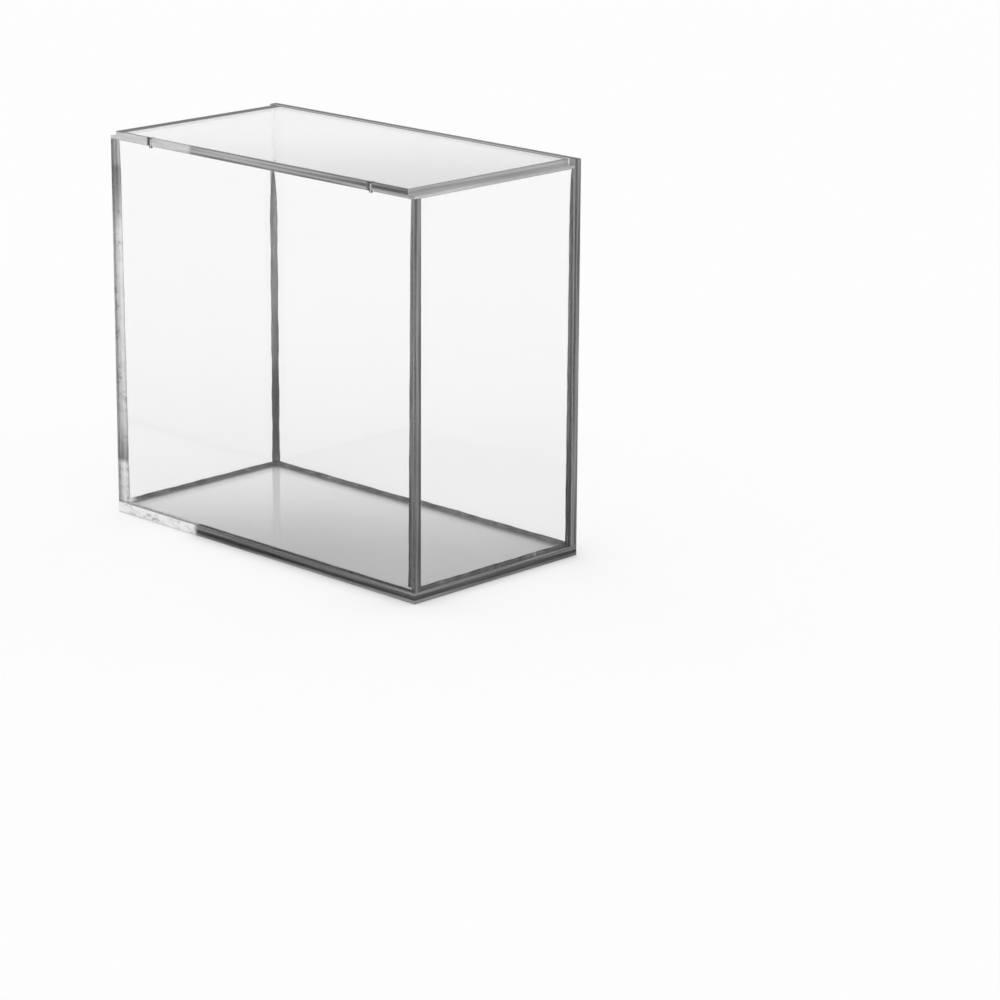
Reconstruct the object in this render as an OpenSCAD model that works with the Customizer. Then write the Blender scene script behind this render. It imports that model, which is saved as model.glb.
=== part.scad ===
// Clear display case for a boxed card set.
// Five acrylic panels are solvent-welded into an open box. The lid lies on the front and end
// panels, behind it the back panel stands up as a fence, and two pairs of rod magnets hold
// the lid's front edge down. The lid slides to the left and right along the fence.
// Origin: centre of the base's underside. +X to the right, +Y to the back, +Z up.

/* [Case] */
// Outer length of the case, left to right
case_l = 203; // [150:1:320]
// Outer depth of the case, front to back
case_d = 105; // [60:1:220]
// Height of the closed case
case_h = 186; // [50:1:320]

/* [Acrylic sheet] */
// Thickness of the four wall panels
wall_t = 4; // [3:0.5:8]
// Thickness of the base panel
base_t = 5; // [3:0.5:8]
// Thickness of the lid
lid_t = 4; // [3.5:0.5:8]
// Bevel polished along the welded box's outer edges
box_bevel = 0.4; // [0.1:0.1:1]
// Bevel polished along the lid's free edges
lid_bevel = 0.3; // [0.1:0.1:0.5]

/* [Lid] */
// Width of the step cut along each end of the lid
step_w = 4; // [2:0.5:12]
// Thickness of the flange that the step leaves
flange_t = 1.4; // [1.2:0.1:3]
// Running gap between the lid's rear edge and the back panel
lid_gap = 0.3; // [0.1:0.1:1]

/* [Magnets] */
// Diameter of the rod magnets
magnet_d = 2; // [1:0.5:2.5]
// Length of the two magnets in the lid
lid_magnet_l = 3; // [1:0.5:3]
// Length of the two magnets in the front panel
front_magnet_l = 1; // [1:0.5:10]
// Distance from each end of the case to the magnets' axes
magnet_inset = 28; // [18:1:60]
// Glue gap around each magnet in its hole
magnet_fit = 0.02; // [0.01:0.01:0.1]
// How far each magnet's face stays back from the sheet's edge
magnet_recess = 0.1; // [0.05:0.05:0.3]

/* [Hidden] */

// Colours: clear acrylic looks faintly green-grey, the magnets are nickel-plated
acrylic = [0.80, 0.87, 0.86, 0.45];
nickel = [0.72, 0.72, 0.70];
// Facets of the magnets and their holes
round_fn = 48;
// Overrun of a cutting tool past the face that it opens
overrun = 1;

// Outer faces
right_x = case_l / 2;
front_y = -case_d / 2;
back_y = case_d / 2;
// Inner faces of the walls
inner_right_x = right_x - wall_t;
inner_front_y = front_y + wall_t;
inner_back_y = back_y - wall_t;
// Level at which the lid lies on the front and end panels
seat_z = case_h - lid_t;
// Rear edge of the lid
lid_back_y = inner_back_y - lid_gap;
// Axes of the magnets, in the middle of the front panel's thickness
magnet_x = right_x - magnet_inset;
magnet_y = front_y + wall_t / 2;

// Rectangle from low to high with its corners cut off at 45 degrees.
// cuts gives the cut of each corner: low-low, high-low, high-high, low-high. 0 leaves it sharp.
module cut_rectangle(low, high, cuts) {
    polygon(concat(
        cuts[0] > 0 ? [[low.x, low.y + cuts[0]], [low.x + cuts[0], low.y]] : [[low.x, low.y]],
        cuts[1] > 0 ? [[high.x - cuts[1], low.y], [high.x, low.y + cuts[1]]] : [[high.x, low.y]],
        cuts[2] > 0 ? [[high.x, high.y - cuts[2]], [high.x - cuts[2], high.y]] : [[high.x, high.y]],
        cuts[3] > 0 ? [[low.x + cuts[3], high.y], [low.x, high.y - cuts[3]]] : [[low.x, high.y]]));
}

// Prism along X: its outline is drawn in the YZ plane
module along_x(from_x, to_x) {
    translate([from_x, 0, 0])
        rotate([90, 0, 90])
            linear_extrude(to_x - from_x)
                children();
}

// Prism along Y: its outline is drawn in the XZ plane
module along_y(from_y, to_y) {
    translate([0, to_y, 0])
        rotate([90, 0, 0])
            linear_extrude(to_y - from_y)
                children();
}

// Prism along Z: its outline is drawn in the XY plane
module along_z(from_z, to_z) {
    translate([0, 0, from_z])
        linear_extrude(to_z - from_z)
            children();
}

// Upright round hole for a magnet, on the left (side = -1) or on the right (side = 1)
module magnet_hole(side, from_z, to_z) {
    translate([side * magnet_x, magnet_y, from_z])
        cylinder(h = to_z - from_z, d = magnet_d + 2 * magnet_fit, $fn = round_fn);
}

// Upright rod magnet on the left (side = -1) or on the right (side = 1)
module rod_magnet(side, from_z, length) {
    color(nickel)
        translate([side * magnet_x, magnet_y, from_z])
            cylinder(h = length, d = magnet_d, $fn = round_fn);
}

// Base: it carries all four walls, so its edge shows as a band right round the foot of the case
module base_panel() {
    b = box_bevel;
    color(acrylic)
        intersection() {
            along_z(0, base_t) cut_rectangle([-right_x, front_y], [right_x, back_y], [b, b, b, b]);
            along_x(-right_x, right_x) cut_rectangle([front_y, 0], [back_y, base_t], [b, b, 0, 0]);
            along_y(front_y, back_y) cut_rectangle([-right_x, 0], [right_x, base_t], [b, b, 0, 0]);
        }
}

// Front: full length, its top edge carries the lid's front edge and holds two magnets
module front_panel() {
    b = box_bevel;
    pocket_z = seat_z - magnet_recess - front_magnet_l;
    color(acrylic)
        difference() {
            along_z(base_t, seat_z)
                cut_rectangle([-right_x, front_y], [right_x, inner_front_y], [b, b, 0, 0]);
            for (side = [-1, 1])
                magnet_hole(side, pocket_z, seat_z + overrun);
        }
}

// Back: full length, it stands up behind the lid as high as the lid's top
module back_panel() {
    b = box_bevel;
    color(acrylic)
        intersection() {
            along_z(base_t, case_h)
                cut_rectangle([-right_x, inner_back_y], [right_x, back_y], [0, 0, b, b]);
            along_x(-right_x, right_x)
                cut_rectangle([inner_back_y, base_t], [back_y, case_h], [0, 0, b, 0]);
            along_y(inner_back_y, back_y)
                cut_rectangle([-right_x, base_t], [right_x, case_h], [0, 0, b, b]);
        }
}

// End panel between front and back, on the left (side = -1) or on the right (side = 1)
module end_panel(side) {
    low_x = side > 0 ? inner_right_x : -right_x;
    color(acrylic)
        along_z(base_t, seat_z)
            cut_rectangle([low_x, inner_front_y], [low_x + wall_t, inner_back_y], [0, 0, 0, 0]);
}

// Outline of the lid seen from the front: the middle stands up between two flanges
module lid_outline() {
    b = lid_bevel;
    shoulder_z = seat_z + flange_t;
    step_x = right_x - step_w;
    half = [[right_x, seat_z + b], [right_x, shoulder_z - b], [right_x - b, shoulder_z],
            [step_x, shoulder_z], [step_x, case_h - b], [step_x - b, case_h]];
    foot = [right_x - b, seat_z];
    mirrored = [for (i = [len(half) - 1 : -1 : 0]) [-half[i].x, half[i].y]];
    polygon(concat([[-foot.x, foot.y], foot], half, mirrored));
}

// Lid: it lies on the front and end panels, with blind holes for two magnets from below
module lid_panel() {
    b = lid_bevel;
    pocket_top_z = seat_z + magnet_recess + lid_magnet_l;
    color(acrylic)
        difference() {
            intersection() {
                along_y(front_y, lid_back_y) lid_outline();
                along_x(-right_x, right_x)
                    cut_rectangle([front_y, seat_z], [lid_back_y, case_h], [b, b, b, b]);
                along_z(seat_z, case_h)
                    cut_rectangle([-right_x, front_y], [right_x, lid_back_y], [b, b, b, b]);
            }
            for (side = [-1, 1])
                magnet_hole(side, seat_z - overrun, pocket_top_z);
        }
}

// Magnet in the lid's front edge, in from the underside
module lid_magnet(side) {
    rod_magnet(side, seat_z + magnet_recess, lid_magnet_l);
}

// Magnet in the front panel's top edge, right under the lid's
module front_magnet(side) {
    rod_magnet(side, seat_z - magnet_recess - front_magnet_l, front_magnet_l);
}

base_panel();
front_panel();
back_panel();
end_panel(-1);  // left_panel
end_panel(1);  // right_panel
lid_panel();
lid_magnet(-1);  // lid_magnet_left
lid_magnet(1);  // lid_magnet_right
front_magnet(-1);  // front_magnet_left
front_magnet(1);  // front_magnet_right
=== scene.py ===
# %% [markdown]
# # A clear trading card display case
# Five acrylic sheets are cemented into an open box. A lid lies on top and slides along the raised
# back panel, and small rod magnets hold its front edge down.
# Clear acrylic is nearly invisible on a pale ground. What the eye reads is what isn't clear: the
# cut edges, which gather light over the whole length of a sheet, the cement in the inner
# corners, and the magnets. So the sheets are modelled as real solids of clear plastic with the
# faint absorption that the real plastic has, and the light does much of the rest; the cuts and
# the cement also carry painted shade and painted highlights.

import bpy
import numpy as np
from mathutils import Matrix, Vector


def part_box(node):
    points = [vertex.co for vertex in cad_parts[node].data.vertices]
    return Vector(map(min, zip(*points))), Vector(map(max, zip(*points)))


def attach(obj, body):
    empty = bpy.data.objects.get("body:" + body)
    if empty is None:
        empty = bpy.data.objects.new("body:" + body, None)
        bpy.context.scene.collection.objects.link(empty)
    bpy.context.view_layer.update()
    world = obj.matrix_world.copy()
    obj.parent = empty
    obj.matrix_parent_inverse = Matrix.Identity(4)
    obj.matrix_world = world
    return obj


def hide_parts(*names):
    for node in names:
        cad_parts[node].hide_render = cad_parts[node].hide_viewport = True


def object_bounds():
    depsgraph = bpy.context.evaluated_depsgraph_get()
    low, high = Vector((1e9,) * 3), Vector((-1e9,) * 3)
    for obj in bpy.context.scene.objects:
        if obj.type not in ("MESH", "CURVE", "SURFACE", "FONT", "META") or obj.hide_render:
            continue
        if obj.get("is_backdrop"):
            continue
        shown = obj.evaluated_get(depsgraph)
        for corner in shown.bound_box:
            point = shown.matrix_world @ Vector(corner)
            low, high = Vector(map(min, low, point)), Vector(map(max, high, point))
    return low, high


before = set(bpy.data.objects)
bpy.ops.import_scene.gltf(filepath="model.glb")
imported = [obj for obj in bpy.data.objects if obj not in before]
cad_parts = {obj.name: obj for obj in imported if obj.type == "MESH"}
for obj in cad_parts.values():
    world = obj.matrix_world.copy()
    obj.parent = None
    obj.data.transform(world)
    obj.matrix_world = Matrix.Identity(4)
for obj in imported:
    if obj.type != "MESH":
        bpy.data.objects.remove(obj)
cad_low, cad_high = (np.array(corner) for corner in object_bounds())
MM = 0.001
print("case, mm:", ((cad_high - cad_low) / MM).round(1))

# %% [markdown]
# The camera stands to the right of the case's front and looks down at it by 14.5 degrees.
# Its place was worked out from the case's corners in the photograph. The sensor shift moves the
# case to where it lies in the frame, as a crop from a larger photograph would.

# %% Camera
CAMERA_PLACE = (1.14582, -1.0797, 0.47947)
CAMERA_YAW = np.radians(45.493)
CAMERA_PITCH = np.radians(14.520)
IMAGE_SIZE = 1000
FOCAL_PX = 3487.2
PRINCIPAL_PX = (413.3, 385.0)
SENSOR = 36.0


def make_camera():
    """A camera with the photograph's viewing angle, made from its focal length in pixels."""
    data = bpy.data.cameras.new("camera")
    data.sensor_width = SENSOR
    data.lens = FOCAL_PX / IMAGE_SIZE * SENSOR
    data.shift_x = 0.5 - PRINCIPAL_PX[0] / IMAGE_SIZE
    data.shift_y = PRINCIPAL_PX[1] / IMAGE_SIZE - 0.5
    data.clip_start, data.clip_end = 0.05, 100
    camera = bpy.data.objects.new("camera", data)
    camera.location = CAMERA_PLACE
    camera.rotation_euler = (np.pi / 2 - CAMERA_PITCH, 0, CAMERA_YAW)
    bpy.context.scene.collection.objects.link(camera)
    bpy.context.scene.camera = camera
    return camera


print("lens, mm:", round(make_camera().data.lens, 1))

# %% [markdown]
# A material is a tree of nodes. It could be clicked together in Blender's shader editor, but a
# script can be read and run again. The trees of this case are long, so they are written with
# small helpers. The first adds a node with its values, the second makes a material to fill.

# %% Nodes and materials


def add(tree, kind, values=(), **settings):
    """A new node of that kind, with settings on the node and values on its inputs."""
    node = tree.nodes.new(kind)
    for name, value in settings.items():
        setattr(node, name, value)
    for name, value in dict(values).items():
        node.inputs[name].default_value = value
    return node


def new_material(name):
    """A material with an empty tree, one Principled shader and its output."""
    material = bpy.data.materials.new(name)
    material.use_nodes = True
    tree = material.node_tree
    tree.nodes.clear()
    shader = add(tree, "ShaderNodeBsdfPrincipled")
    output = add(tree, "ShaderNodeOutputMaterial")
    tree.links.new(shader.outputs[0], output.inputs[0])
    return material, tree, shader, output


print("materials that came with the frame:", len(bpy.data.materials))

# %% [markdown]
# A pattern is a number for each point of a surface. It could come from a painted picture, but
# these patterns are worked out from the point's place in Object coordinates: metres in the case's
# own frame. So a finish stays at its place on the sheet when the lid slides.

# %% Patterns
UP = (0.0, 0.0, 1.0)


def object_noise(tree, waves, detail=3.0, roughness=0.5):
    """Noise on Object coordinates; waves is how many waves a metre holds along X, Y and Z."""
    place = add(tree, "ShaderNodeTexCoord")
    turn = add(tree, "ShaderNodeMapping", {"Scale": waves})
    values = {"Scale": 1.0, "Detail": detail, "Roughness": roughness}
    noise = add(tree, "ShaderNodeTexNoise", values)
    tree.links.new(place.outputs["Object"], turn.inputs["Vector"])
    tree.links.new(turn.outputs[0], noise.inputs["Vector"])
    return noise.outputs["Fac"]


def along(tree, direction, low, high):
    """How far the point lies along a direction: 0 at low metres and 1 at high."""
    place = add(tree, "ShaderNodeTexCoord")
    part = add(tree, "ShaderNodeVectorMath", operation="DOT_PRODUCT")
    part.inputs[1].default_value = direction
    tree.links.new(place.outputs["Object"], part.inputs[0])
    scaled = add(tree, "ShaderNodeMapRange", {"From Min": low, "From Max": high})
    tree.links.new(part.outputs["Value"], scaled.inputs["Value"])
    return scaled.outputs["Result"]


print("patterns run up along", UP)

# %% [markdown]
# A ramp turns such a number into a shade, and a mix picks between two shades by a third number.
# Both could be built from sums and products, but a ramp's stops show at a glance what it does.

# %% Ramps and mixes


def levels(stops):
    """Stops of a ramp of greys from (place, level) pairs."""
    return [(place, (level, level, level)) for place, level in stops]


def ramp(tree, factor, stops):
    """A colour ramp over (place, colour) stops, driven by factor."""
    node = add(tree, "ShaderNodeValToRGB")
    while len(node.color_ramp.elements) < len(stops):
        node.color_ramp.elements.new(0.5)
    for element, (place, colour) in zip(node.color_ramp.elements, stops):
        element.position = place
        element.color = (*colour, 1.0)
    tree.links.new(factor, node.inputs[0])
    return node.outputs[0]


def mix(tree, factor, kind, first, second):
    """first where factor is 0 and second where it is 1, for kind FLOAT or RGBA."""
    node = add(tree, "ShaderNodeMix", data_type=kind)
    socket_type = "VALUE" if kind == "FLOAT" else kind
    pair = [socket for socket in node.inputs if socket.type == socket_type and socket.name in "AB"]
    tree.links.new(factor, node.inputs[0])
    for socket, value in zip(pair, (first, second)):
        if isinstance(value, (int, float)):
            socket.default_value = value
        else:
            tree.links.new(value, socket)
    return [socket for socket in node.outputs if socket.type == socket_type][0]


def layered(tree, kind, base, layers):
    """base, with the value of each (mask, value) layer laid over it where its mask is 1."""
    for where, value in layers:
        base = mix(tree, where, kind, base, value)
    return base


print("a ramp from dark to pale grey:", levels([(0.0, 0.2), (1.0, 0.8)]))

# %% [markdown]
# One sheet carries several finishes, and each comes from a tool. Each could be a material of its
# own, but then the clear plastic would be described many times. Here a number on each face of the
# mesh names its finish: clear as the sheet was cast, polished on the wheel, glued and so left as
# it was sawn (the end panels' rear edges), scuffed where the lid rubs on the end panels, satin
# (the back panel's top edge), or milled, which is paler (the lid's stepped ends and the end
# panels' top edges). The shader asks whether that number is at least the finish's own. So a mask
# is 1 on its finish and on all that come after it, and the finishes are laid over each other in
# this order.

# %% Masks
MASK = "cut"
CLEAR, POLISHED, GLUED, SCUFFED, SATIN, MILLED = 0.0, 1.0, 2.0, 3.0, 4.0, 5.0


def calculate(tree, operation, first, second):
    """One Math node over two sockets. Of masks, MULTIPLY gives both and MAXIMUM gives either."""
    node = add(tree, "ShaderNodeMath", operation=operation)
    tree.links.new(first, node.inputs[0])
    tree.links.new(second, node.inputs[1])
    return node.outputs[0]


def at_least(tree, factor, limit):
    """1 where factor, a whole number, is at least limit, and 0 elsewhere."""
    test = add(tree, "ShaderNodeMath", {1: limit - 0.5}, operation="GREATER_THAN")
    tree.links.new(factor, test.inputs[0])
    return test.outputs[0]


def less(tree, factor, taken):
    """factor * (1 - taken)."""
    rest = add(tree, "ShaderNodeMath", {0: 1.0}, operation="SUBTRACT")
    tree.links.new(taken, rest.inputs[1])
    return calculate(tree, "MULTIPLY", factor, rest.outputs[0])


def region(tree, x_stops, y_stops, z_stops):
    """The product of three ramps, over the case's length, depth and height as 0 to 1."""
    stops = (x_stops, y_stops, z_stops)
    in_x, in_y, in_z = (
        ramp(tree, along(tree, np.eye(3)[axis], cad_low[axis], cad_high[axis]), stops[axis])
        for axis in range(3)
    )
    return calculate(tree, "MULTIPLY", calculate(tree, "MULTIPLY", in_x, in_y), in_z)


print("finishes:", int(MILLED) + 1)

# %% [markdown]
# No two edges of a hand-made case are alike. Round the front left corner the cuts, the corner's
# bevel and the cement carry a painted highlight, in bands up the corner, and the left part of the
# lid's front edge carries painted streaks of light. The joint at the rear left is bare near its
# top, and the magnets are seen through two small windows in the lid's front edge. The lid's top
# face has painted shade along its left and rear margins, in the satin grey, and two strips of the
# back panel's inner face, over the end panels, were rubbed satin. Such places could be cut into
# the mesh, but some have soft ends. So each is a box of three ramps, in shares of the case's
# length, depth and height.

# %% Places
EVERYWHERE = levels([(0.0, 1.0), (1.0, 1.0)])
TOP_FACE = levels([(0.998, 0.0), (0.999, 1.0)])
LID_HEIGHT = levels([(0.978, 0.0), (0.979, 1.0)])
# Where the painted highlight lies: round the front left corner, in bands up its height
PAINTED_LIGHT_X = levels([(0.0, 1.0), (0.272, 1.0), (0.285, 0.0)])
PAINTED_LIGHT_Y = levels([(0.06, 1.0), (0.10, 0.0)])
BASE_PAINTED_LIGHT_Y = levels([(0.35, 1.0), (0.6, 0.0)])
PAINTED_LIGHT_Z = levels([
    (0.0, 1.0), (0.13, 1.0), (0.142, 0.25), (0.165, 0.4), (0.22, 0.75), (0.3, 0.85), (0.45, 0.9),
    (0.74, 1.0), (0.79, 0.65), (0.84, 0.3), (0.90, 0.0), (0.972, 0.0), (0.982, 0.9),
])
PAINTED_LIGHT_BEVEL = (
    levels([(0.0018, 1.0), (0.0019, 0.0)]),
    levels([(0.0036, 1.0), (0.0037, 0.0)]),
    PAINTED_LIGHT_Z,
)
BARE_JOINT = (
    levels([(0.02, 1.0), (0.03, 0.0)]),
    levels([(0.90, 0.0), (0.93, 1.0)]),
    levels([(0.82, 0.0), (0.84, 1.0)]),
)
MAGNET_WINDOWS = (
    levels([
        (0.130, 0.0), (0.132, 1.0), (0.144, 1.0), (0.146, 0.0),
        (0.854, 0.0), (0.856, 1.0), (0.868, 1.0), (0.870, 0.0),
    ]),
    levels([(0.02, 1.0), (0.03, 0.0)]),
    LID_HEIGHT,
)
# Painted shade: dark bands along the left and rear margins of the lid's top face, in the satin
# finish's grey, that widen the far edges as refraction does
LID_SHADE_BANDS = [
    (levels([(0.049, 1.0), (0.053, 0.0)]), EVERYWHERE, TOP_FACE),
    (EVERYWHERE, levels([(0.937, 0.0), (0.941, 1.0)]), TOP_FACE),
]
BACK_STRIPS = (
    levels([(0.019, 1.0), (0.020, 0.0), (0.980, 0.0), (0.981, 1.0)]),
    levels([(0.963, 1.0), (0.966, 0.0)]),
    LID_HEIGHT,
)
print("satin margins of the lid:", len(LID_SHADE_BANDS))

# %% [markdown]
# A broad face of clear plastic is all but white, with faint marks where it was wiped. The base also
# carries a painted shade in patches, darker towards the front right, for the shade that lies on
# the paper under the case there. Dust could be modelled speck by speck, but from this far it blurs
# into just such a haze, so a shade of the face is enough.

# %% Clear faces
WIPE_WAVES = (7, 7, 4)
WIPED = levels([(0.3, 0.997), (0.7, 1.0)])
BASE_SHADE_PATCHES = levels([(0.2, 0.0), (0.4, 1.0)])
# Painted shade of the base, in patches: darker towards the front right, for the shade on the paper
# under the case
BASE_PAINTED_SHADE = levels([(0.0, 0.90), (0.30, 0.92), (0.62, 1.0)])
TO_REAR_LEFT = (-0.7071, 0.7071, 0)
# How far the base's rear left corner lies from its middle, along that direction
BASE_SHADE_REACH = 0.109


def face_shade(tree, shaded_base):
    """Almost white, with faint wipe marks, and with the base's painted shade where shaded_base is
    on.
    """
    wipe = object_noise(tree, WIPE_WAVES, detail=2.0)
    clear = ramp(tree, wipe, WIPED)
    if not shaded_base:
        return clear
    base_shade = ramp(tree, along(tree, TO_REAR_LEFT, -BASE_SHADE_REACH, BASE_SHADE_REACH), BASE_PAINTED_SHADE)
    return mix(tree, ramp(tree, wipe, BASE_SHADE_PATCHES), "RGBA", clear, base_shade)


print("darkest haze:", BASE_PAINTED_SHADE[0][1][0])

# %% [markdown]
# A cut edge is finely frosted along the lines of the saw and the polishing wheel, so part of what
# it shows is its own grey. The polished cuts' greys are partly painted shade as well, for the dark
# look that light inside the sheet gives an edge. The lines could be scratched into the mesh, but
# they have next to no depth. Noise that is long along the sheet and very short across it looks the
# same, and a ramp for each finish gives the greys of its lines. Along the base's edge a dark stripe
# is painted across the middle of its height, and the part below it is painted a little brighter,
# against the shade of the floor.

# %% Cut edges
BASE_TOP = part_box("base_panel")[1].z
# Greys of a polished cut: partly its frosting, partly painted shade for the dark look of an edge
POLISH_AND_SHADE_GREYS = [(0.34, 0.10), (0.5, 0.30), (0.66, 0.62)]
# A dark stripe painted along the base's edge
BASE_STRIPE_GREYS = levels([(0.4, 0.02), (0.6, 0.08)])
SAWN_GREYS = levels([(0.34, 0.06), (0.66, 0.26)])
SCUFFED_GREYS = levels([(0.34, 0.16), (0.66, 0.34)])
SATIN_GREYS = levels([(0.34, 0.08), (0.66, 0.20)])
MILLED_GREYS = levels([(0.34, 0.40), (0.5, 0.52), (0.66, 0.66)])
# Share of polish up the base's edge: a painted dark stripe across the middle, the part below it
# painted brighter against the floor's shade
BASE_STRIPE_HEIGHTS = levels([
    (0.0, 1.0), (0.28, 0.95), (0.37, 0.10), (0.47, 0.10), (0.58, 0.85), (1.0, 0.9),
])
# The painted highlight: pale mottling on the cuts and the cement, and streaks of light on the lid
GLINT_WAVES = (170, 170, 300)
GLINT_GREYS = levels([(0.32, 0.45), (0.40, 0.80), (0.50, 0.95), (0.66, 1.0)])
LID_GLINT_WAVES = (60, 60, 420)
LID_GLINT_GREYS = levels([(0.36, 0.78), (0.5, 0.9), (0.64, 1.0)])


def painted_glint(tree, waves=GLINT_WAVES, stops=GLINT_GREYS):
    """A pale, mottled painted highlight, for the cuts and the cement round the front left corner.
    """
    return ramp(tree, object_noise(tree, waves, detail=3.0, roughness=0.7), stops)


def polish_and_shade(tree, lines, edge_brightness):
    """The wheel's lines, in greys partly painted shade, as bright as edge_brightness says, over a
    painted stripe along the base's edge.
    """
    cut_greys = ramp(tree, lines, levels([(place, grey * edge_brightness) for place, grey in POLISH_AND_SHADE_GREYS]))
    unstriped = ramp(tree, along(tree, UP, 0, BASE_TOP), BASE_STRIPE_HEIGHTS)
    return mix(tree, unstriped, "RGBA", ramp(tree, lines, BASE_STRIPE_GREYS), cut_greys)


print("greys of a polished cut:", [grey for _, grey in POLISH_AND_SHADE_GREYS])

# %% [markdown]
# The special places change what the masks say. At the bare joint and in the magnets' windows the
# cuts are clear, the front left bevel with its painted highlight counts as a cut, and the satin
# places, the lid's painted dark bands among them, as satin. Each could have a mask of its own, but
# worked in here they act on colour, roughness and clearness alike.

# %% Masks of the finishes


def finish_masks(tree, satin_and_shaded_places):
    """A mask for each finish but clear: 1 on it and on all after it, or as the places say."""
    number = add(tree, "ShaderNodeAttribute", attribute_name=MASK).outputs["Fac"]
    is_cut, is_glued, is_scuffed, is_satin, is_milled = (
        at_least(tree, number, finish) for finish in (POLISHED, GLUED, SCUFFED, SATIN, MILLED)
    )
    bare = region(tree, *BARE_JOINT)
    is_cut = less(tree, less(tree, is_cut, bare), region(tree, *MAGNET_WINDOWS))
    is_cut = calculate(tree, "MAXIMUM", is_cut, region(tree, *PAINTED_LIGHT_BEVEL))
    for place in satin_and_shaded_places:
        is_satin = calculate(tree, "MAXIMUM", is_satin, region(tree, *place))
    return is_cut, less(tree, is_glued, bare), is_scuffed, is_satin, is_milled


print("masks:", int(MILLED))

# %% [markdown]
# Clear acrylic bends light by an index of 1.49 and swallows a little of it on the way. Through
# 4 mm that is nothing, but light that enters a cut edge runs on inside the sheet for 100 or 200 mm
# and comes out grey. That is why the edges look dark and the faces clear. The inside absorbs light
# as the real plastic does, and the cuts are painted grey as well, partly their own frosting and
# partly painted shade. One Principled shader makes the surface, and the masks pick its colour,
# its roughness and how much light goes through.

# %% Clear acrylic
ACRYLIC_IOR = 1.49
ABSORPTION_TINT = (0.80, 0.815, 0.81)
ABSORPTION_PER_M = 7.0
CUT_ROUGHNESS = levels([(0.3, 0.14), (0.7, 0.04)])
SATIN_ROUGHNESS = 0.38
MILLED_ROUGHNESS = 0.2
POLISHED_THROUGH = 0.55
LIT_THROUGH = 0.12
DULL_THROUGH = 0.15


def clear_acrylic(name, line_waves, edge_brightness=1.0, glint_waves=GLINT_WAVES, glint_stops=GLINT_GREYS,
                  lit_through=LIT_THROUGH, lit_y=PAINTED_LIGHT_Y, satin_and_shaded_places=(), shaded_base=False):
    """Clear plastic whose cut faces have fine lines, line_waves a metre along X, Y and Z."""
    material, tree, shader, output = new_material(name)
    is_cut, is_glued, is_scuffed, is_satin, is_milled = finish_masks(tree, satin_and_shaded_places)
    is_dull = calculate(tree, "MAXIMUM", is_glued, is_satin)
    # Painted highlight round the front left corner, pale and less clear
    lit_region = region(tree, PAINTED_LIGHT_X, lit_y, PAINTED_LIGHT_Z)
    glint = painted_glint(tree, glint_waves, glint_stops)
    lines = object_noise(tree, line_waves, detail=2.0, roughness=0.6)
    colour = layered(tree, "RGBA", face_shade(tree, shaded_base), [
        (is_cut, mix(tree, lit_region, "RGBA", polish_and_shade(tree, lines, edge_brightness), glint)),
        (is_glued, ramp(tree, lines, SAWN_GREYS)),
        (is_scuffed, ramp(tree, lines, SCUFFED_GREYS)),
        (is_satin, ramp(tree, lines, SATIN_GREYS)),
        (is_milled, ramp(tree, lines, MILLED_GREYS)),
    ])
    roughness = layered(tree, "FLOAT", 0.0, [
        (is_cut, ramp(tree, lines, CUT_ROUGHNESS)),
        (is_satin, SATIN_ROUGHNESS),
        (is_milled, MILLED_ROUGHNESS),
    ])
    through = layered(tree, "FLOAT", 1.0, [
        (is_cut, mix(tree, lit_region, "FLOAT", POLISHED_THROUGH, lit_through)),
        (is_dull, DULL_THROUGH),
    ])
    tree.links.new(colour, shader.inputs["Base Color"])
    tree.links.new(roughness, shader.inputs["Roughness"])
    tree.links.new(through, shader.inputs["Transmission Weight"])
    shader.inputs["IOR"].default_value = ACRYLIC_IOR
    inside = add(tree, "ShaderNodeVolumeAbsorption", {"Density": ABSORPTION_PER_M})
    inside.inputs["Color"].default_value = (*ABSORPTION_TINT, 1.0)
    tree.links.new(inside.outputs[0], output.inputs["Volume"])
    return material


print("light absorbed, per metre:", ABSORPTION_PER_M)

# %% [markdown]
# The lines of a cut run along the sheet, and the sheets lie three ways. The lines could be turned
# by each sheet's own coordinates. Three materials are simpler, one for each axis that a sheet is
# thin along. The lid gets one of its own, with paler painted greys on its cuts and painted streaks
# of light in place of the mottled highlight.

# %% Acrylic of the sheets
ALONG_CUT = 9.0
ACROSS_CUT = 520.0
LYING_LINES = (ALONG_CUT, ALONG_CUT, ACROSS_CUT)
ACRYLIC = [
    clear_acrylic("clear_acrylic_ends", (ACROSS_CUT, ALONG_CUT, ALONG_CUT)),
    clear_acrylic(
        "clear_acrylic_front_back", (ALONG_CUT, ACROSS_CUT, ALONG_CUT), satin_and_shaded_places=[BACK_STRIPS]
    ),
    clear_acrylic("clear_acrylic_base", LYING_LINES, lit_y=BASE_PAINTED_LIGHT_Y, shaded_base=True),
]
LID_ACRYLIC = clear_acrylic(
    "clear_acrylic_lid", LYING_LINES, edge_brightness=1.5, glint_waves=LID_GLINT_WAVES, glint_stops=LID_GLINT_GREYS,
    lit_through=0.35, satin_and_shaded_places=LID_SHADE_BANDS,
)
print("acrylic:", ", ".join(material.name for material in (*ACRYLIC, LID_ACRYLIC)))

# %% [markdown]
# Every sheet is an outline carried along one axis: a rectangle for the walls and the base, a
# stepped outline for the lid. The CAD model's own meshes could be shown, but the render needs
# softer bevels and a finish on each face. Where two sheets meet, each is held back by a hundredth
# of a millimetre, because a renderer can't order two clear faces that lie in exactly one plane.

# %% Sheets
# How far each sheet is held back at a joint
SEAM_GAP = 0.01 * MM
# Coordinates that differ by less, in metres, are the same
SAME_PLACE = 1e-6


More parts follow.
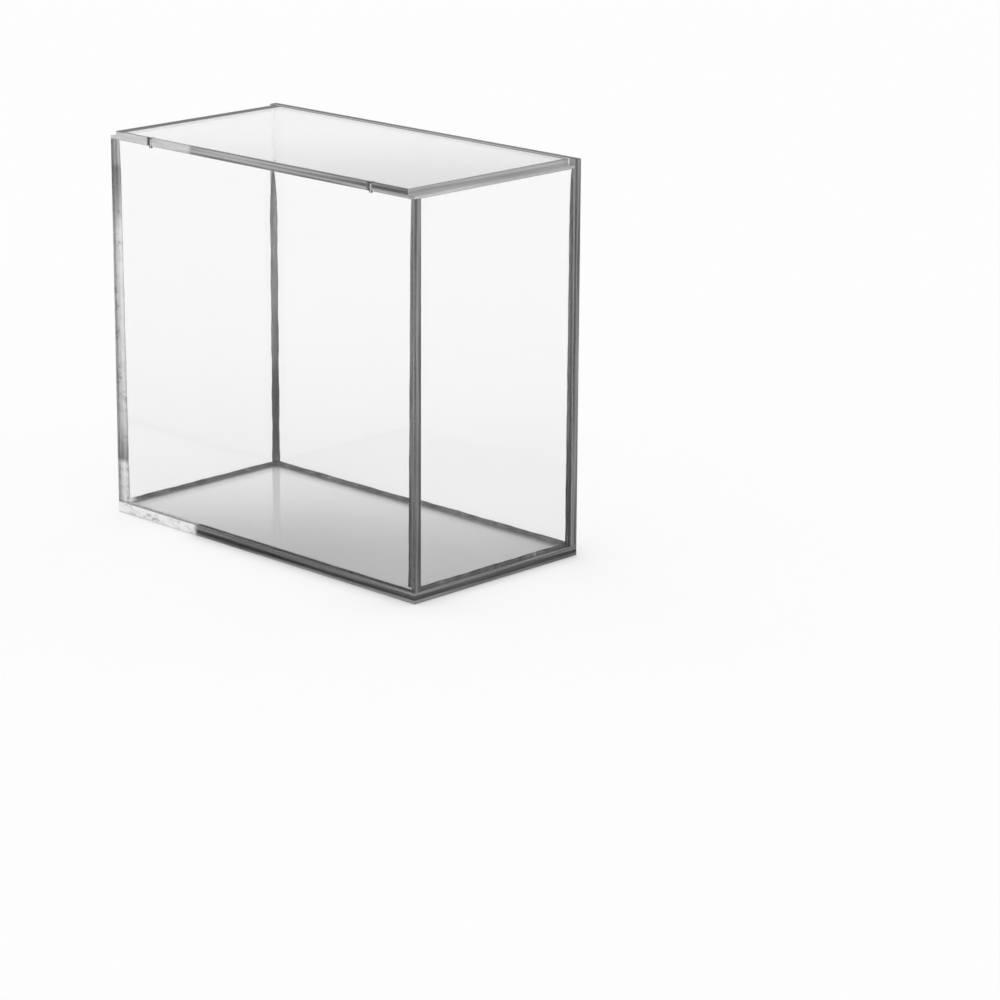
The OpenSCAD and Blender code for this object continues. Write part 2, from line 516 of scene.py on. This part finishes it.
def prism(outline, axis, low, high):
    """The outline (n points) at low and again at high along axis: n side faces and two caps."""
    count = len(outline)
    points = np.empty((2, count, 3))
    across = [(1, 2), (2, 0), (0, 1)][axis]
    points[:, :, across] = outline
    points[0, :, axis], points[1, :, axis] = low, high
    here = np.arange(count)
    after = np.roll(here, -1)
    sides = np.stack([here, after, after + count, here + count], axis=1)
    return points.reshape(-1, 3), [*sides.tolist(), here[::-1].tolist(), (here + count).tolist()]


def rectangle(low, high):
    """Four corners, anticlockwise."""
    return np.array([low, (high[0], low[1]), high, (low[0], high[1])])


def node_box(node):
    """The node's box, held back by the seam gap wherever it doesn't lie on the case's outside."""
    low, high = (np.array(corner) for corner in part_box(node))
    low += np.where(np.abs(low - cad_low) < SAME_PLACE, 0, SEAM_GAP)
    high -= np.where(np.abs(high - cad_high) < SAME_PLACE, 0, SEAM_GAP)
    return low, high


def new_piece(name, points, faces, body):
    """A mesh object at the origin, with its place in its mesh, that rides on a CAD body."""
    mesh = bpy.data.meshes.new(name)
    mesh.from_pydata(points.tolist(), [], faces)
    mesh.validate()
    piece = bpy.data.objects.new(name, mesh)
    bpy.context.scene.collection.objects.link(piece)
    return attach(piece, body)


print("held back at a joint, mm:", round(SEAM_GAP / MM, 3))

# %% [markdown]
# The finish of a face follows from where it looks: broad faces are clear, the others were cut.
# The number is written to the face's corners and not to the face, because the bevel adds faces
# of its own, and these take over what the corners hold.

# %% Finish of each face
# The least share of a face's normal along a direction when the face looks that way
FACING = 0.9


def face_vectors(mesh, name):
    """The normal or the center of each face, as rows of an array."""
    vectors = np.empty(len(mesh.polygons) * 3, np.float32)
    mesh.polygons.foreach_get(name, vectors)
    return vectors.reshape(-1, 3)


def face_finishes(mesh, thickness_axis, special_cuts=()):
    """CLEAR for broad faces, POLISHED for others, or as special_cuts says for their normals."""
    normals = face_vectors(mesh, "normal")
    finishes = np.where(np.abs(normals[:, thickness_axis]) < FACING, POLISHED, CLEAR)
    for normal, finish in special_cuts:
        looks_there = normals @ np.array(normal, np.float32) > FACING
        finishes = np.where(looks_there, finish, finishes)
    return finishes


def write_mask(mesh, finishes):
    """Puts each face's finish on all its corners."""
    corners = np.empty(len(mesh.polygons), np.int32)
    mesh.polygons.foreach_get("loop_total", corners)
    mask = mesh.attributes.new(MASK, "FLOAT", "CORNER")
    mask.data.foreach_set("value", np.repeat(finishes, corners).astype(np.float32))


print("a face looks along a direction by a share of at least", FACING)

# %% [markdown]
# Free edges were bevelled, and edges at a joint are all but sharp. The bevels could be points of
# the outline, but they run round three directions. A Bevel modifier takes a weight for each edge,
# so one list of widths does it.

# %% Bevels
BOX_BEVEL = 0.4 * MM
LID_BEVEL = 0.3 * MM
# Bevel of an edge at a joint
HAIRLINE = 0.04 * MM


def edge_middles(mesh):
    """The middle of each edge, as rows of an array."""
    ends = np.empty(len(mesh.edges) * 2, np.int32)
    mesh.edges.foreach_get("vertices", ends)
    points = np.empty(len(mesh.vertices) * 3, np.float32)
    mesh.vertices.foreach_get("co", points)
    return points.reshape(-1, 3)[ends.reshape(-1, 2)].mean(axis=1)


def bevel_edges(piece, widths):
    """A Bevel modifier whose width along each edge is widths, one number for each edge."""
    widest = float(widths.max())
    weights = piece.data.attributes.new("bevel_weight_edge", "FLOAT", "EDGE")
    weights.data.foreach_set("value", (widths / widest).astype(np.float32))
    bevel = piece.modifiers.new("bevel", "BEVEL")
    bevel.limit_method, bevel.width, bevel.segments = "WEIGHT", widest, 2
    bevel.offset_type = "OFFSET"


print("bevels, mm:", round(BOX_BEVEL / MM, 2), round(LID_BEVEL / MM, 2))

# %% [markdown]
# The walls and the base take their boxes from the CAD nodes that they stand for. They could be
# typed in as sizes, but then they would stay behind when the CAD model changes. An edge is free
# where it lies on two of the closed case's outer planes.

# %% Walls and base
THICKNESS_AXES = {
    "base_panel": 2, "front_panel": 1, "back_panel": 1, "left_panel": 0, "right_panel": 0,
}
END_PANEL_CUTS = [((0, 1, 0), GLUED), ((0, 0, 1), MILLED)]
SPECIAL_CUTS = {
    "left_panel": END_PANEL_CUTS,
    "right_panel": END_PANEL_CUTS,
    "back_panel": [((0, 0, 1), SATIN)],
}


def outer_planes(points):
    """How many of the closed case's six outer planes each row of points lies on."""
    on_low = np.abs(points - cad_low) < 2 * SEAM_GAP
    on_high = np.abs(points - cad_high) < 2 * SEAM_GAP
    return (on_low | on_high).sum(axis=-1)


def box_sheet(node, thickness_axis):
    """A wall or base sheet: its free edges get the polished bevel, the others a hairline."""
    low, high = node_box(node)
    points, faces = prism(rectangle(low[:2], high[:2]), 2, low[2], high[2])
    piece = new_piece(node + "_sheet", points, faces, "box")
    mesh = piece.data
    mesh.materials.append(ACRYLIC[thickness_axis])
    write_mask(mesh, face_finishes(mesh, thickness_axis, SPECIAL_CUTS.get(node, ())))
    is_free = outer_planes(edge_middles(mesh)) >= 2
    bevel_edges(piece, np.where(is_free, BOX_BEVEL, HAIRLINE))
    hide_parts(node)
    return piece


sheets = {node: box_sheet(node, axis) for node, axis in THICKNESS_AXES.items()}
print("sheets:", ", ".join(sheets))

# %% [markdown]
# The lid is one sheet with a step milled along both ends, so that its middle stands up between
# two flanges. It could be glued from three strips, but the real one is one piece. Its outline,
# seen from the front, is carried from its front edge to its rear edge. Two more points in the
# underside set off the strips that rub on the end panels.

# %% Lid
STEP_WIDTH = 4.0 * MM
FLANGE = 1.4 * MM
SCUFF_WIDTH = 3.0 * MM
LID_CUTS = [((1, 0, 0), MILLED), ((-1, 0, 0), MILLED)]
# How far the scuffed strips' inner borders lie from the lid's middle
STRIP_X = cad_high[0] - STEP_WIDTH - SCUFF_WIDTH


def lid_outline(low, high):
    """The lid seen from the front, as (z, x) pairs for a prism along Y."""
    shoulder = low[2] + FLANGE
    step_x = high[0] - STEP_WIDTH
    right = [
        (low[2], STRIP_X), (low[2], high[0]), (shoulder, high[0]), (shoulder, step_x),
        (high[2], step_x),
    ]
    left = [(z, -x) for z, x in reversed(right)]
    return np.array(left + right)[::-1]


def strip_finishes(mesh, finishes, bottom):
    """finishes with the strips of the underside as SCUFFED and the flanges' tops as MILLED."""
    centres = face_vectors(mesh, "center")
    heights = centres[:, 2] - bottom
    lies_flat = np.abs(face_vectors(mesh, "normal")[:, 2]) > FACING
    is_low_end = (np.abs(centres[:, 0]) > STRIP_X) & (heights < FLANGE + SEAM_GAP) & lies_flat
    return np.where(is_low_end, np.where(heights < SEAM_GAP, SCUFFED, MILLED), finishes)


def lid_sheet(node):
    """The lid, bevelled along all its edges but the two borders of the scuffed strips."""
    low, high = node_box(node)
    points, faces = prism(lid_outline(low, high), 1, low[1], high[1])
    piece = new_piece(node + "_sheet", points, faces, "lid")
    mesh = piece.data
    mesh.materials.append(LID_ACRYLIC)
    write_mask(mesh, strip_finishes(mesh, face_finishes(mesh, 2, LID_CUTS), low[2]))
    middles = edge_middles(mesh)
    to_ends = np.abs(middles[:, 1, None] - np.array([low[1], high[1]])).min(axis=1)
    to_borders = np.abs(np.abs(middles[:, 0]) - STRIP_X)
    is_border = (to_ends >= SAME_PLACE) & (to_borders < SAME_PLACE)
    bevel_edges(piece, np.where(is_border, 0, LID_BEVEL))
    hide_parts(node)
    return piece


sheets["lid_panel"] = lid_sheet("lid_panel")
print("lid faces:", len(sheets["lid_panel"].data.polygons))

# %% [markdown]
# Solvent cement dries grey and uneven, with soft runs down the joints. Its grey is partly its own
# and partly painted shade for the dark inner corners. Low down, up to about a third of the case's
# height, a darker painted shade is laid on, and round the front left corner it carries the same
# painted highlight as the cuts beside it. It could be clear plastic with bubbles modelled in it,
# but in beads as thin as these only the shade shows. So noise that is drawn out upwards gives the
# runs.

# %% Cement
CEMENT_WAVES = (160, 160, 22)
CEMENT_GREYS = levels([(0.36, 0.10), (0.52, 0.18), (0.68, 0.31)])
LOW_SHADE_GREYS = levels([(0.36, 0.02), (0.52, 0.045), (0.68, 0.10)])
# 0 at the heights that get the darker painted shade and 1 where they don't
PAINTED_SHADE_HEIGHTS = levels([(0.04, 0.6), (0.06, 0.0), (0.27, 0.05), (0.32, 1.0)])
CEMENT_ROUGHNESS = levels([(0.3, 0.12), (0.7, 0.3)])


def cement():
    """Grey cement with soft runs down each joint, painted shade low down and a painted highlight
    round the front left corner.
    """
    material, tree, shader, _ = new_material("dried_cement")
    runs = object_noise(tree, CEMENT_WAVES, detail=4.0, roughness=0.65)
    height = ramp(tree, along(tree, UP, 0, cad_high[2]), PAINTED_SHADE_HEIGHTS)
    low_shade, shade = ramp(tree, runs, LOW_SHADE_GREYS), ramp(tree, runs, CEMENT_GREYS)
    colour = mix(tree, height, "RGBA", low_shade, shade)
    # The painted highlight round the front left corner
    lit_region = region(tree, PAINTED_LIGHT_X, PAINTED_LIGHT_Y, PAINTED_LIGHT_Z)
    colour = mix(tree, lit_region, "RGBA", colour, painted_glint(tree))
    tree.links.new(colour, shader.inputs["Base Color"])
    tree.links.new(ramp(tree, runs, CEMENT_ROUGHNESS), shader.inputs["Roughness"])
    shader.inputs["Transmission Weight"].default_value = DULL_THROUGH
    shader.inputs["IOR"].default_value = ACRYLIC_IOR
    return material


CEMENT = cement()
print("cement:", CEMENT.name)

# %% [markdown]
# Cement runs along a joint by itself, and no hand lays it evenly. An upright bead is thick at the
# foot and runs out thin at its top, and every bead wanders in its width. Random numbers could move
# each point, but cement flows smoothly, so two slow waves change the radius along the joint.

# %% Radius of a bead
# The radius wanders by these shares of it, in waves of so many radians in a millimetre
LONG_WAVE, LONG_WANDER = 0.21, 0.06
SHORT_WAVE, SHORT_WANDER = 0.57, 0.04
# A bead that runs out does so over this share of its length, down to this share of its radius
RUN_OUT, THIN_END = 0.10, 0.1


def bead_radius(share, length, radii, phase, runs_out):
    """The radius at each share of the length, as a column.

    It goes evenly from radii[0] to radii[1] and wanders by two sine waves. Where the bead runs
    out, it falls as the square root of what is left of the length.
    """
    place = share * length / MM
    wander = LONG_WANDER * np.sin(place * LONG_WAVE + phase)
    wander = wander + SHORT_WANDER * np.sin(place * SHORT_WAVE)
    radius = (radii[0] + (radii[1] - radii[0]) * share) * (1 + wander)
    if runs_out:
        radius = radius * np.sqrt(np.clip((1 - share) / RUN_OUT, THIN_END ** 2, 1))
    return radius


print("a bead wanders by up to", LONG_WANDER + SHORT_WANDER, "of its radius")

# %% [markdown]
# The cement dries in the inner corner as a hollow bead. It could be a round tube, but its hollow
# face is what catches the light. So each bead is a small profile, a corner cut away by a quarter
# circle, carried along its joint. Rings of the profile stand at even steps, and quads join them.

# %% Cement beads
BEAD_GAP = 0.02 * MM
ARC_POINTS = 9
RING_SPACING = 3 * MM
FEWEST_RINGS = 12


def bead_faces(count, ring):
    """Quads between count rings of ring points each, and a cap on the first and last ring."""
    index = np.arange(count * ring).reshape(count, ring)
    after = np.roll(index, -1, axis=1)
    quads = np.stack([index[:-1], after[:-1], after[1:], index[1:]], axis=-1).reshape(-1, 4)
    return [*quads.tolist(), index[0][::-1].tolist(), index[-1].tolist()]


def bead(name, start, end, walls, radii, phase, mitred=False):
    """A concave quarter-round along the line from start to end, between two walls.

    walls holds the two directions that lead from the corner along the walls. A point at an angle
    t on the arc lies radius * (1 - sin t) along one wall and radius * (1 - cos t) along the
    other. A mitred bead gets shorter at both ends by how far the point lies along the first
    wall, and the others run out.
    """
    start, end = np.array(start, float), np.array(end, float)
    length = np.linalg.norm(end - start)
    count = max(int(length / RING_SPACING), FEWEST_RINGS)
    share = np.linspace(0, 1, count)[:, None]
    radius = bead_radius(share, length, radii, phase, runs_out=not mitred)
    angle = np.linspace(0, np.pi / 2, ARC_POINTS)
    first = BEAD_GAP + np.hstack([np.zeros_like(radius), radius * (1 - np.sin(angle))])
    second = BEAD_GAP + np.hstack([np.zeros_like(radius), radius * (1 - np.cos(angle))])
    cut = first + BEAD_GAP if mitred else np.full_like(first, BEAD_GAP)
    place = cut + (length - 2 * cut) * share
    points = start + place[..., None] * (end - start) / length
    points = points + first[..., None] * np.array(walls[0]) + second[..., None] * np.array(walls[1])
    faces = bead_faces(count, ARC_POINTS + 1)
    piece = new_piece(name, points.reshape(-1, 3), faces, "box")
    if np.dot(np.cross(walls[0], walls[1]), end - start) < 0:
        piece.data.flip_normals()
    piece.data.materials.append(CEMENT)
    is_side = np.array([len(face) == 4 for face in faces])
    piece.data.polygons.foreach_set("use_smooth", is_side)
    return piece


print("points in a ring of a bead:", ARC_POINTS + 1)

# %% [markdown]
# Four beads stand in the corners and four lie round the floor. They could be one piece, but cement
# is run into one joint at a time. The floor's beads have mitred ends, so that they meet without
# passing through each other, and the upright ones start where these get thin. The rear left bead
# stops short, where the joint is bare.

# %% Beads in their corners
# Radii in millimetres, at the foot and at the top of the upright beads
UPRIGHT_RADII = {
    "front_left": (1.9, 0.5), "back_left": (2.6, 2.4),
    "front_right": (1.9, 0.5), "back_right": (1.6, 1.0),
}
FLOOR_RADII = {"left": 1.5, "right": 1.6, "front": 0.5, "back": 1.6}
FOOT_GAP = 1.3 * MM
TOP_GAP = 0.3 * MM
REAR_LEFT_TOP = 154 * MM
SEAT_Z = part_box("lid_panel")[0].z
# The inner faces of the walls, and which way is inward from each
ENDS = {"left": (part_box("left_panel")[1].x, 1), "right": (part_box("right_panel")[0].x, -1)}
SIDES = {"front": (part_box("front_panel")[1].y, 1), "back": (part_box("back_panel")[0].y, -1)}


def upright_bead(corner, phase):
    """The bead in a corner such as back_left, from the floor up."""
    side, end = corner.split("_")
    (x, inward_x), (y, inward_y) = ENDS[end], SIDES[side]
    top = REAR_LEFT_TOP if corner == "back_left" else SEAT_Z - TOP_GAP
    line = [(x, y, BASE_TOP + FOOT_GAP), (x, y, top)]
    walls = [(inward_x, 0, 0), (0, inward_y, 0)]
    radii = [radius * MM for radius in UPRIGHT_RADII[corner]]
    return bead(f"cement_{corner}", *line, walls, radii, phase)


def floor_bead(wall, phase):
    """The bead along the foot of one wall, between the two walls beside it."""
    if wall in ENDS:
        x, inward = ENDS[wall]
        line = [(x, y, BASE_TOP) for y, _ in SIDES.values()]
        walls = [(inward, 0, 0), UP]
    else:
        y, inward = SIDES[wall]
        line = [(x, y, BASE_TOP) for x, _ in ENDS.values()]
        walls = [(0, inward, 0), UP]
    radii = [FLOOR_RADII[wall] * MM] * 2
    return bead(f"cement_floor_{wall}", *line, walls, radii, phase, mitred=True)


beads = [upright_bead(corner, phase) for phase, corner in enumerate(UPRIGHT_RADII)]
beads += [floor_bead(wall, phase) for phase, wall in enumerate(FLOOR_RADII, len(beads))]
print("cement beads:", len(beads))

# %% [markdown]
# The magnets are plain nickel-plated rods. They could be made anew, but the CAD model's rods are
# right as they are and only need their metal: bright, a little rough, with fine lines round the
# rod.

# %% Magnets
NICKEL_WAVES = (900, 900, 4000)
NICKEL_SHADES = [(0.3, (0.58, 0.57, 0.55)), (0.7, (0.74, 0.73, 0.70))]
NICKEL_ROUGHNESS = 0.22


def nickel():
    """Bright nickel plating with fine lines round the rod."""
    material, tree, shader, _ = new_material("nickel_plating")
    shade = ramp(tree, object_noise(tree, NICKEL_WAVES), NICKEL_SHADES)
    tree.links.new(shade, shader.inputs["Base Color"])
    shader.inputs["Metallic"].default_value = 1.0
    shader.inputs["Roughness"].default_value = NICKEL_ROUGHNESS
    return material


NICKEL = nickel()
magnets = [node for name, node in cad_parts.items() if "magnet" in name]
for magnet in magnets:
    magnet.data.materials.clear()
    magnet.data.materials.append(NICKEL)
print("magnets:", len(magnets))

# %% [markdown]
# A product studio is a white table under soft light, with a dim room round it. The camera looks
# over the table at white paper, and so does all light that passes straight through the sheets.
# Only mirrored light shows the room: what a face reflects, and what has bounced along inside a
# sheet before it leaves. A room could be built round the case, but it would dim the paper too.
# So the floor and the world are white to the camera and through glass, and dimmer where the light
# has been mirrored on its way.

# %% Mirrored light
TRAPPED_BOUNCES = 2
TO_REAR_RIGHT = (0.7071, 0.7071, 0)
ROOM = levels([(0.1, 0.12), (0.5, 0.10), (0.75, 0.4), (1.0, 0.95)])


def room_or_white(tree, white, once, often):
    """white for light that comes straight, once for mirrored light, often if that was trapped.

    Light that a rough surface has scattered counts as straight, so the room dims no surface.
    """
    path = add(tree, "ShaderNodeLightPath")
    bounces = path.outputs["Glossy Depth"]
    level = mix(tree, at_least(tree, bounces, 1), "RGBA", white, once)
    level = mix(tree, at_least(tree, bounces, TRAPPED_BOUNCES), "RGBA", level, often)
    return mix(tree, at_least(tree, path.outputs["Diffuse Depth"], 1), "RGBA", level, white)


def towards(tree, vector):
    """How far a vector points to the right and back: 1 for all the way and 0 for the opposite."""
    unit = add(tree, "ShaderNodeVectorMath", operation="NORMALIZE")
    tree.links.new(vector, unit.inputs[0])
    part = add(tree, "ShaderNodeVectorMath", operation="DOT_PRODUCT")
    part.inputs[1].default_value = TO_REAR_RIGHT
    tree.links.new(unit.outputs[0], part.inputs[0])
    shifted = add(tree, "ShaderNodeMath", {1: 0.5, 2: 0.5}, operation="MULTIPLY_ADD")
    tree.links.new(part.outputs["Value"], shifted.inputs[0])
    return shifted.outputs[0]


def flat_grey(tree, level):
    """A grey that is the same everywhere, as a socket."""
    node = add(tree, "ShaderNodeRGB")
    node.outputs[0].default_value = (level, level, level, 1)
    return node.outputs[0]


print("the room's shades:", [shade[0] for _, shade in ROOM])

# %% [markdown]
# The floor is one large face of white paper just under the case. Lamps could light it, but they
# would put bright spots on the sheets that the photograph doesn't have. So the world is the only
# light.

# %% Floor and world
FLOOR_SIZE = 30.0
FLOOR_DROP = 0.1 * MM
PAPER = 0.985
# Painted shade on the paper near the case, seen only by mirrored light
TABLE = levels([(0.08, 0.35), (0.2, 0.7), (0.45, 0.97)])
WALL_TO_CEILING = levels([
    (0.1795, 1.0), (0.1852, 0.90), (0.1893, 0.78), (0.1929, 0.67), (0.20, 0.60), (0.26, 0.85),
    (0.2756, 0.75), (0.2825, 0.42), (0.288, 0.12), (0.2949, 0.0), (0.4, 0.1), (0.6, 0.4),
    (1.0, 0.6),
])


def make_floor():
    """White paper without end; mirrored light sees it dimmer near the case than far away."""
    corners = rectangle((-FLOOR_SIZE, -FLOOR_SIZE), (FLOOR_SIZE, FLOOR_SIZE))
    points = np.column_stack([corners, np.full(4, -FLOOR_DROP)])
    mesh = bpy.data.meshes.new("floor")
    mesh.from_pydata(points.tolist(), [], [[0, 1, 2, 3]])
    floor = bpy.data.objects.new("floor", mesh)
    bpy.context.scene.collection.objects.link(floor)
    material, tree, shader, _ = new_material("floor_paper")
    place = add(tree, "ShaderNodeTexCoord")
    distance = add(tree, "ShaderNodeVectorMath", operation="LENGTH")
    tree.links.new(place.outputs["Object"], distance.inputs[0])
    table = ramp(tree, distance.outputs["Value"], TABLE)
    room = ramp(tree, towards(tree, place.outputs["Object"]), ROOM)
    colour = room_or_white(tree, flat_grey(tree, PAPER), table, room)
    tree.links.new(colour, shader.inputs["Base Color"])
    shader.inputs["Roughness"].default_value = 1.0
    shader.inputs["Specular IOR Level"].default_value = 0.0
    mesh.materials.append(material)
    floor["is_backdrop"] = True
    return floor


def make_world():
    """White, but mirrored light sees a lit wall near the horizon and a dim ceiling above it."""
    world = bpy.data.worlds.new("studio")
    world.use_nodes = True
    tree = world.node_tree
    tree.nodes.clear()
    place = add(tree, "ShaderNodeTexCoord")
    split = add(tree, "ShaderNodeSeparateXYZ")
    tree.links.new(place.outputs["Generated"], split.inputs[0])
    wall = ramp(tree, split.outputs["Z"], WALL_TO_CEILING)
    room = ramp(tree, towards(tree, place.outputs["Generated"]), ROOM)
    light = add(tree, "ShaderNodeBackground", {"Strength": 1.0})
    tree.links.new(room_or_white(tree, flat_grey(tree, 1.0), wall, room), light.inputs["Color"])
    output = add(tree, "ShaderNodeOutputWorld")
    tree.links.new(light.outputs[0], output.inputs[0])
    bpy.context.scene.world = world
    return world


print("floor and world:", make_floor().name, make_world().name)

# %% [markdown]
# Light bounces many times inside a clear sheet before it comes out of an edge, so paths are long.
# Cycles can blur sharp reflections to calm its noise, but that would make every edge dark, so the
# blur is off.

# %% Light paths
LONGEST_PATH = 40
scene = bpy.context.scene
scene.view_settings.view_transform = "Standard"
scene.cycles.blur_glossy = 0.0
scene.cycles.max_bounces = LONGEST_PATH
scene.cycles.transmission_bounces = LONGEST_PATH
scene.cycles.glossy_bounces = LONGEST_PATH
scene.cycles.diffuse_bounces = 4
print("longest path:", scene.cycles.max_bounces)
